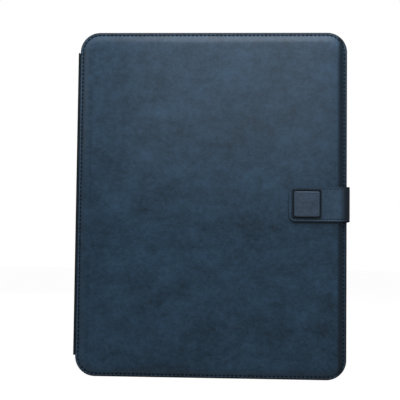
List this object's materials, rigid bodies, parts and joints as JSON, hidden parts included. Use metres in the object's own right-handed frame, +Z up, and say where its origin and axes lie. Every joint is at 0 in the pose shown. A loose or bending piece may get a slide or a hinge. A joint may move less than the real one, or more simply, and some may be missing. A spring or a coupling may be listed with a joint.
{
  "type": "tablet keyboard case",
  "caption": "Padded leather folio for a tablet, with a wrap-round strap, a fold-out stand, a corner-clip tray and a low keyboard inside its front cover.",
  "frame": {"origin": "centre of the closed case's base, where the two covers' bottom edges stand", "axes": "+X from the spine to the strap, +Y from the front cover to the rear cover, +Z up along the covers' height"},
  "size_m": [0.1996, 0.0308, 0.252],
  "materials": {
    "navy_leather": "waxed full-grain, lightly mottled",
    "dark_leather": "worn edge leather",
    "suede": "short brushed microfibre",
    "greyboard": "pressed board",
    "foam": "thin foam sheet",
    "graphite_plastic": "fine moulded texture",
    "key_plastic": "satin keycaps with pale legends",
    "steel": "plain plated sheet",
    "rubber": "matt silicone",
    "circuit_board": "solder-masked board",
    "membrane_film": "translucent film",
    "battery_foil": "foil pouch",
    "lens": "clear light pipe"
  },
  "bodies": {
    "tablet_side": {"rear_leather": "navy_leather", "rear_board": "greyboard", "rear_lining": "suede", "camera_ring": "graphite_plastic", "tablet_tray": "graphite_plastic", "tray_liner": "suede", "stand_keepers": "steel", "strap_root": "dark_leather"},
    "stand_leg": {"stand_leather": "navy_leather", "stand_board": "greyboard", "stand_lining": "suede", "stand_magnets": "steel", "stand_pull_tab": "dark_leather", "stand_fold_web": "dark_leather"},
    "spine": {"spine_leather": "dark_leather", "spine_board": "greyboard", "spine_lining": "suede", "spine_fold_webs": "dark_leather"},
    "keyboard_side": {"front_leather": "navy_leather", "front_padding": "foam", "front_board": "greyboard", "front_lining": "suede", "closure_keeper": "steel", "palm_rest": "suede", "keyboard_base": "graphite_plastic", "keyboard_deck": "graphite_plastic", "key_web": "graphite_plastic", "switch_plate": "steel", "switch_membrane": "membrane_film", "rubber_domes": "rubber", "controller_board": "circuit_board", "battery": "battery_foil", "charge_port": "steel", "indicator_lenses": "lens", "case_screws": "steel", "screen_bumpers": "rubber"},
    "strap_side": {"strap_side": "navy_leather", "strap_fold_webs": "dark_leather"},
    "strap_tab": {"strap_tab": "navy_leather", "strap_patch": "navy_leather", "closure_magnet": "steel"},
    "power_slider": {"power_slider": "graphite_plastic"},
    "pairing_button": {"pairing_button": "graphite_plastic"},
    "function_keys": {"function_keys": "key_plastic"},
    "number_keys": {"number_keys": "key_plastic"},
    "backspace_key": {"backspace_key": "key_plastic"},
    "tab_key": {"tab_key": "key_plastic"},
    "upper_letter_keys": {"upper_letter_keys": "key_plastic"},
    "caps_lock_key": {"caps_lock_key": "key_plastic"},
    "home_letter_keys": {"home_letter_keys": "key_plastic"},
    "enter_key": {"enter_key": "key_plastic"},
    "left_shift_key": {"left_shift_key": "key_plastic"},
    "lower_letter_keys": {"lower_letter_keys": "key_plastic"},
    "right_shift_key": {"right_shift_key": "key_plastic"},
    "modifier_keys": {"modifier_keys": "key_plastic"},
    "space_bar": {"space_bar": "key_plastic"},
    "left_arrow_key": {"left_arrow_key": "key_plastic"},
    "up_arrow_key": {"up_arrow_key": "key_plastic"},
    "down_arrow_key": {"down_arrow_key": "key_plastic"},
    "right_arrow_key": {"right_arrow_key": "key_plastic"}
  },
  "joints": [
    {"name": "back_stand_fold", "type": "hinge", "parent": "tablet_side", "child": "stand_leg", "pos_m": [0, 0.0124, 0.126], "axis": [0, 0, -1], "range_deg": [0, 80], "deforming": ["stand_fold_web"]},
    {"name": "closure_side_fold", "type": "hinge", "parent": "tablet_side", "child": "strap_side", "pos_m": [0.0991, 0.0121, 0.126], "axis": [0, 0, 1], "range_deg": [0, 90], "deforming": ["strap_fold_webs"]},
    {"name": "closure_tab_fold", "type": "hinge", "parent": "strap_side", "child": "strap_tab", "pos_m": [0.0991, -0.0129, 0.126], "axis": [0, 0, 1], "range_deg": [0, 90], "deforming": ["strap_fold_webs"]},
    {"name": "control_pair_press", "type": "slide", "parent": "keyboard_side", "child": "pairing_button", "axis": [0, -1, 0], "range_m": [0, 0.0004], "stiffness_N_per_m": 500, "springref_m": -0.0004},
    {"name": "control_power_slide", "type": "slide", "parent": "keyboard_side", "child": "power_slider", "axis": [0, 0, -1], "range_m": [0, 0.003]},
    {"name": "cover_front_fold", "type": "hinge", "parent": "spine", "child": "keyboard_side", "pos_m": [-0.0989, -0.0086, 0.126], "axis": [0, 0, -1], "range_deg": [0, 90], "deforming": ["spine_fold_webs"]},
    {"name": "cover_spine_fold", "type": "hinge", "parent": "tablet_side", "child": "spine", "pos_m": [-0.0989, 0.0121, 0.126], "axis": [0, 0, -1], "range_deg": [0, 90], "deforming": ["spine_fold_webs"]},
    {"name": "key_press_function_keys", "type": "slide", "parent": "keyboard_side", "child": "function_keys", "axis": [0, -1, 0], "range_m": [0, 0.0012], "stiffness_N_per_m": 400, "springref_m": -0.0005, "deforming": ["rubber_domes"]},
    {"name": "key_press_number_keys", "type": "slide", "parent": "keyboard_side", "child": "number_keys", "axis": [0, -1, 0], "range_m": [0, 0.0012], "stiffness_N_per_m": 400, "springref_m": -0.0005, "deforming": ["rubber_domes"]},
    {"name": "key_press_backspace_key", "type": "slide", "parent": "keyboard_side", "child": "backspace_key", "axis": [0, -1, 0], "range_m": [0, 0.0012], "stiffness_N_per_m": 400, "springref_m": -0.0005, "deforming": ["rubber_domes"]},
    {"name": "key_press_tab_key", "type": "slide", "parent": "keyboard_side", "child": "tab_key", "axis": [0, -1, 0], "range_m": [0, 0.0012], "stiffness_N_per_m": 400, "springref_m": -0.0005, "deforming": ["rubber_domes"]},
    {"name": "key_press_upper_letter_keys", "type": "slide", "parent": "keyboard_side", "child": "upper_letter_keys", "axis": [0, -1, 0], "range_m": [0, 0.0012], "stiffness_N_per_m": 400, "springref_m": -0.0005, "deforming": ["rubber_domes"]},
    {"name": "key_press_caps_lock_key", "type": "slide", "parent": "keyboard_side", "child": "caps_lock_key", "axis": [0, -1, 0], "range_m": [0, 0.0012], "stiffness_N_per_m": 400, "springref_m": -0.0005, "deforming": ["rubber_domes"]},
    {"name": "key_press_home_letter_keys", "type": "slide", "parent": "keyboard_side", "child": "home_letter_keys", "axis": [0, -1, 0], "range_m": [0, 0.0012], "stiffness_N_per_m": 400, "springref_m": -0.0005, "deforming": ["rubber_domes"]},
    {"name": "key_press_enter_key", "type": "slide", "parent": "keyboard_side", "child": "enter_key", "axis": [0, -1, 0], "range_m": [0, 0.0012], "stiffness_N_per_m": 400, "springref_m": -0.0005, "deforming": ["rubber_domes"]},
    {"name": "key_press_left_shift_key", "type": "slide", "parent": "keyboard_side", "child": "left_shift_key", "axis": [0, -1, 0], "range_m": [0, 0.0012], "stiffness_N_per_m": 400, "springref_m": -0.0005, "deforming": ["rubber_domes"]},
    {"name": "key_press_lower_letter_keys", "type": "slide", "parent": "keyboard_side", "child": "lower_letter_keys", "axis": [0, -1, 0], "range_m": [0, 0.0012], "stiffness_N_per_m": 400, "springref_m": -0.0005, "deforming": ["rubber_domes"]},
    {"name": "key_press_right_shift_key", "type": "slide", "parent": "keyboard_side", "child": "right_shift_key", "axis": [0, -1, 0], "range_m": [0, 0.0012], "stiffness_N_per_m": 400, "springref_m": -0.0005, "deforming": ["rubber_domes"]},
    {"name": "key_press_modifier_keys", "type": "slide", "parent": "keyboard_side", "child": "modifier_keys", "axis": [0, -1, 0], "range_m": [0, 0.0012], "stiffness_N_per_m": 400, "springref_m": -0.0005, "deforming": ["rubber_domes"]},
    {"name": "key_press_space_bar", "type": "slide", "parent": "keyboard_side", "child": "space_bar", "axis": [0, -1, 0], "range_m": [0, 0.0012], "stiffness_N_per_m": 400, "springref_m": -0.0005, "deforming": ["rubber_domes"]},
    {"name": "key_press_left_arrow_key", "type": "slide", "parent": "keyboard_side", "child": "left_arrow_key", "axis": [0, -1, 0], "range_m": [0, 0.0012], "stiffness_N_per_m": 400, "springref_m": -0.0005, "deforming": ["rubber_domes"]},
    {"name": "key_press_up_arrow_key", "type": "slide", "parent": "keyboard_side", "child": "up_arrow_key", "axis": [0, -1, 0], "range_m": [0, 0.0012], "stiffness_N_per_m": 400, "springref_m": -0.0005, "deforming": ["rubber_domes"]},
    {"name": "key_press_down_arrow_key", "type": "slide", "parent": "keyboard_side", "child": "down_arrow_key", "axis": [0, -1, 0], "range_m": [0, 0.0012], "stiffness_N_per_m": 400, "springref_m": -0.0005, "deforming": ["rubber_domes"]},
    {"name": "key_press_right_arrow_key", "type": "slide", "parent": "keyboard_side", "child": "right_arrow_key", "axis": [0, -1, 0], "range_m": [0, 0.0012], "stiffness_N_per_m": 400, "springref_m": -0.0005, "deforming": ["rubber_domes"]}
  ]
}
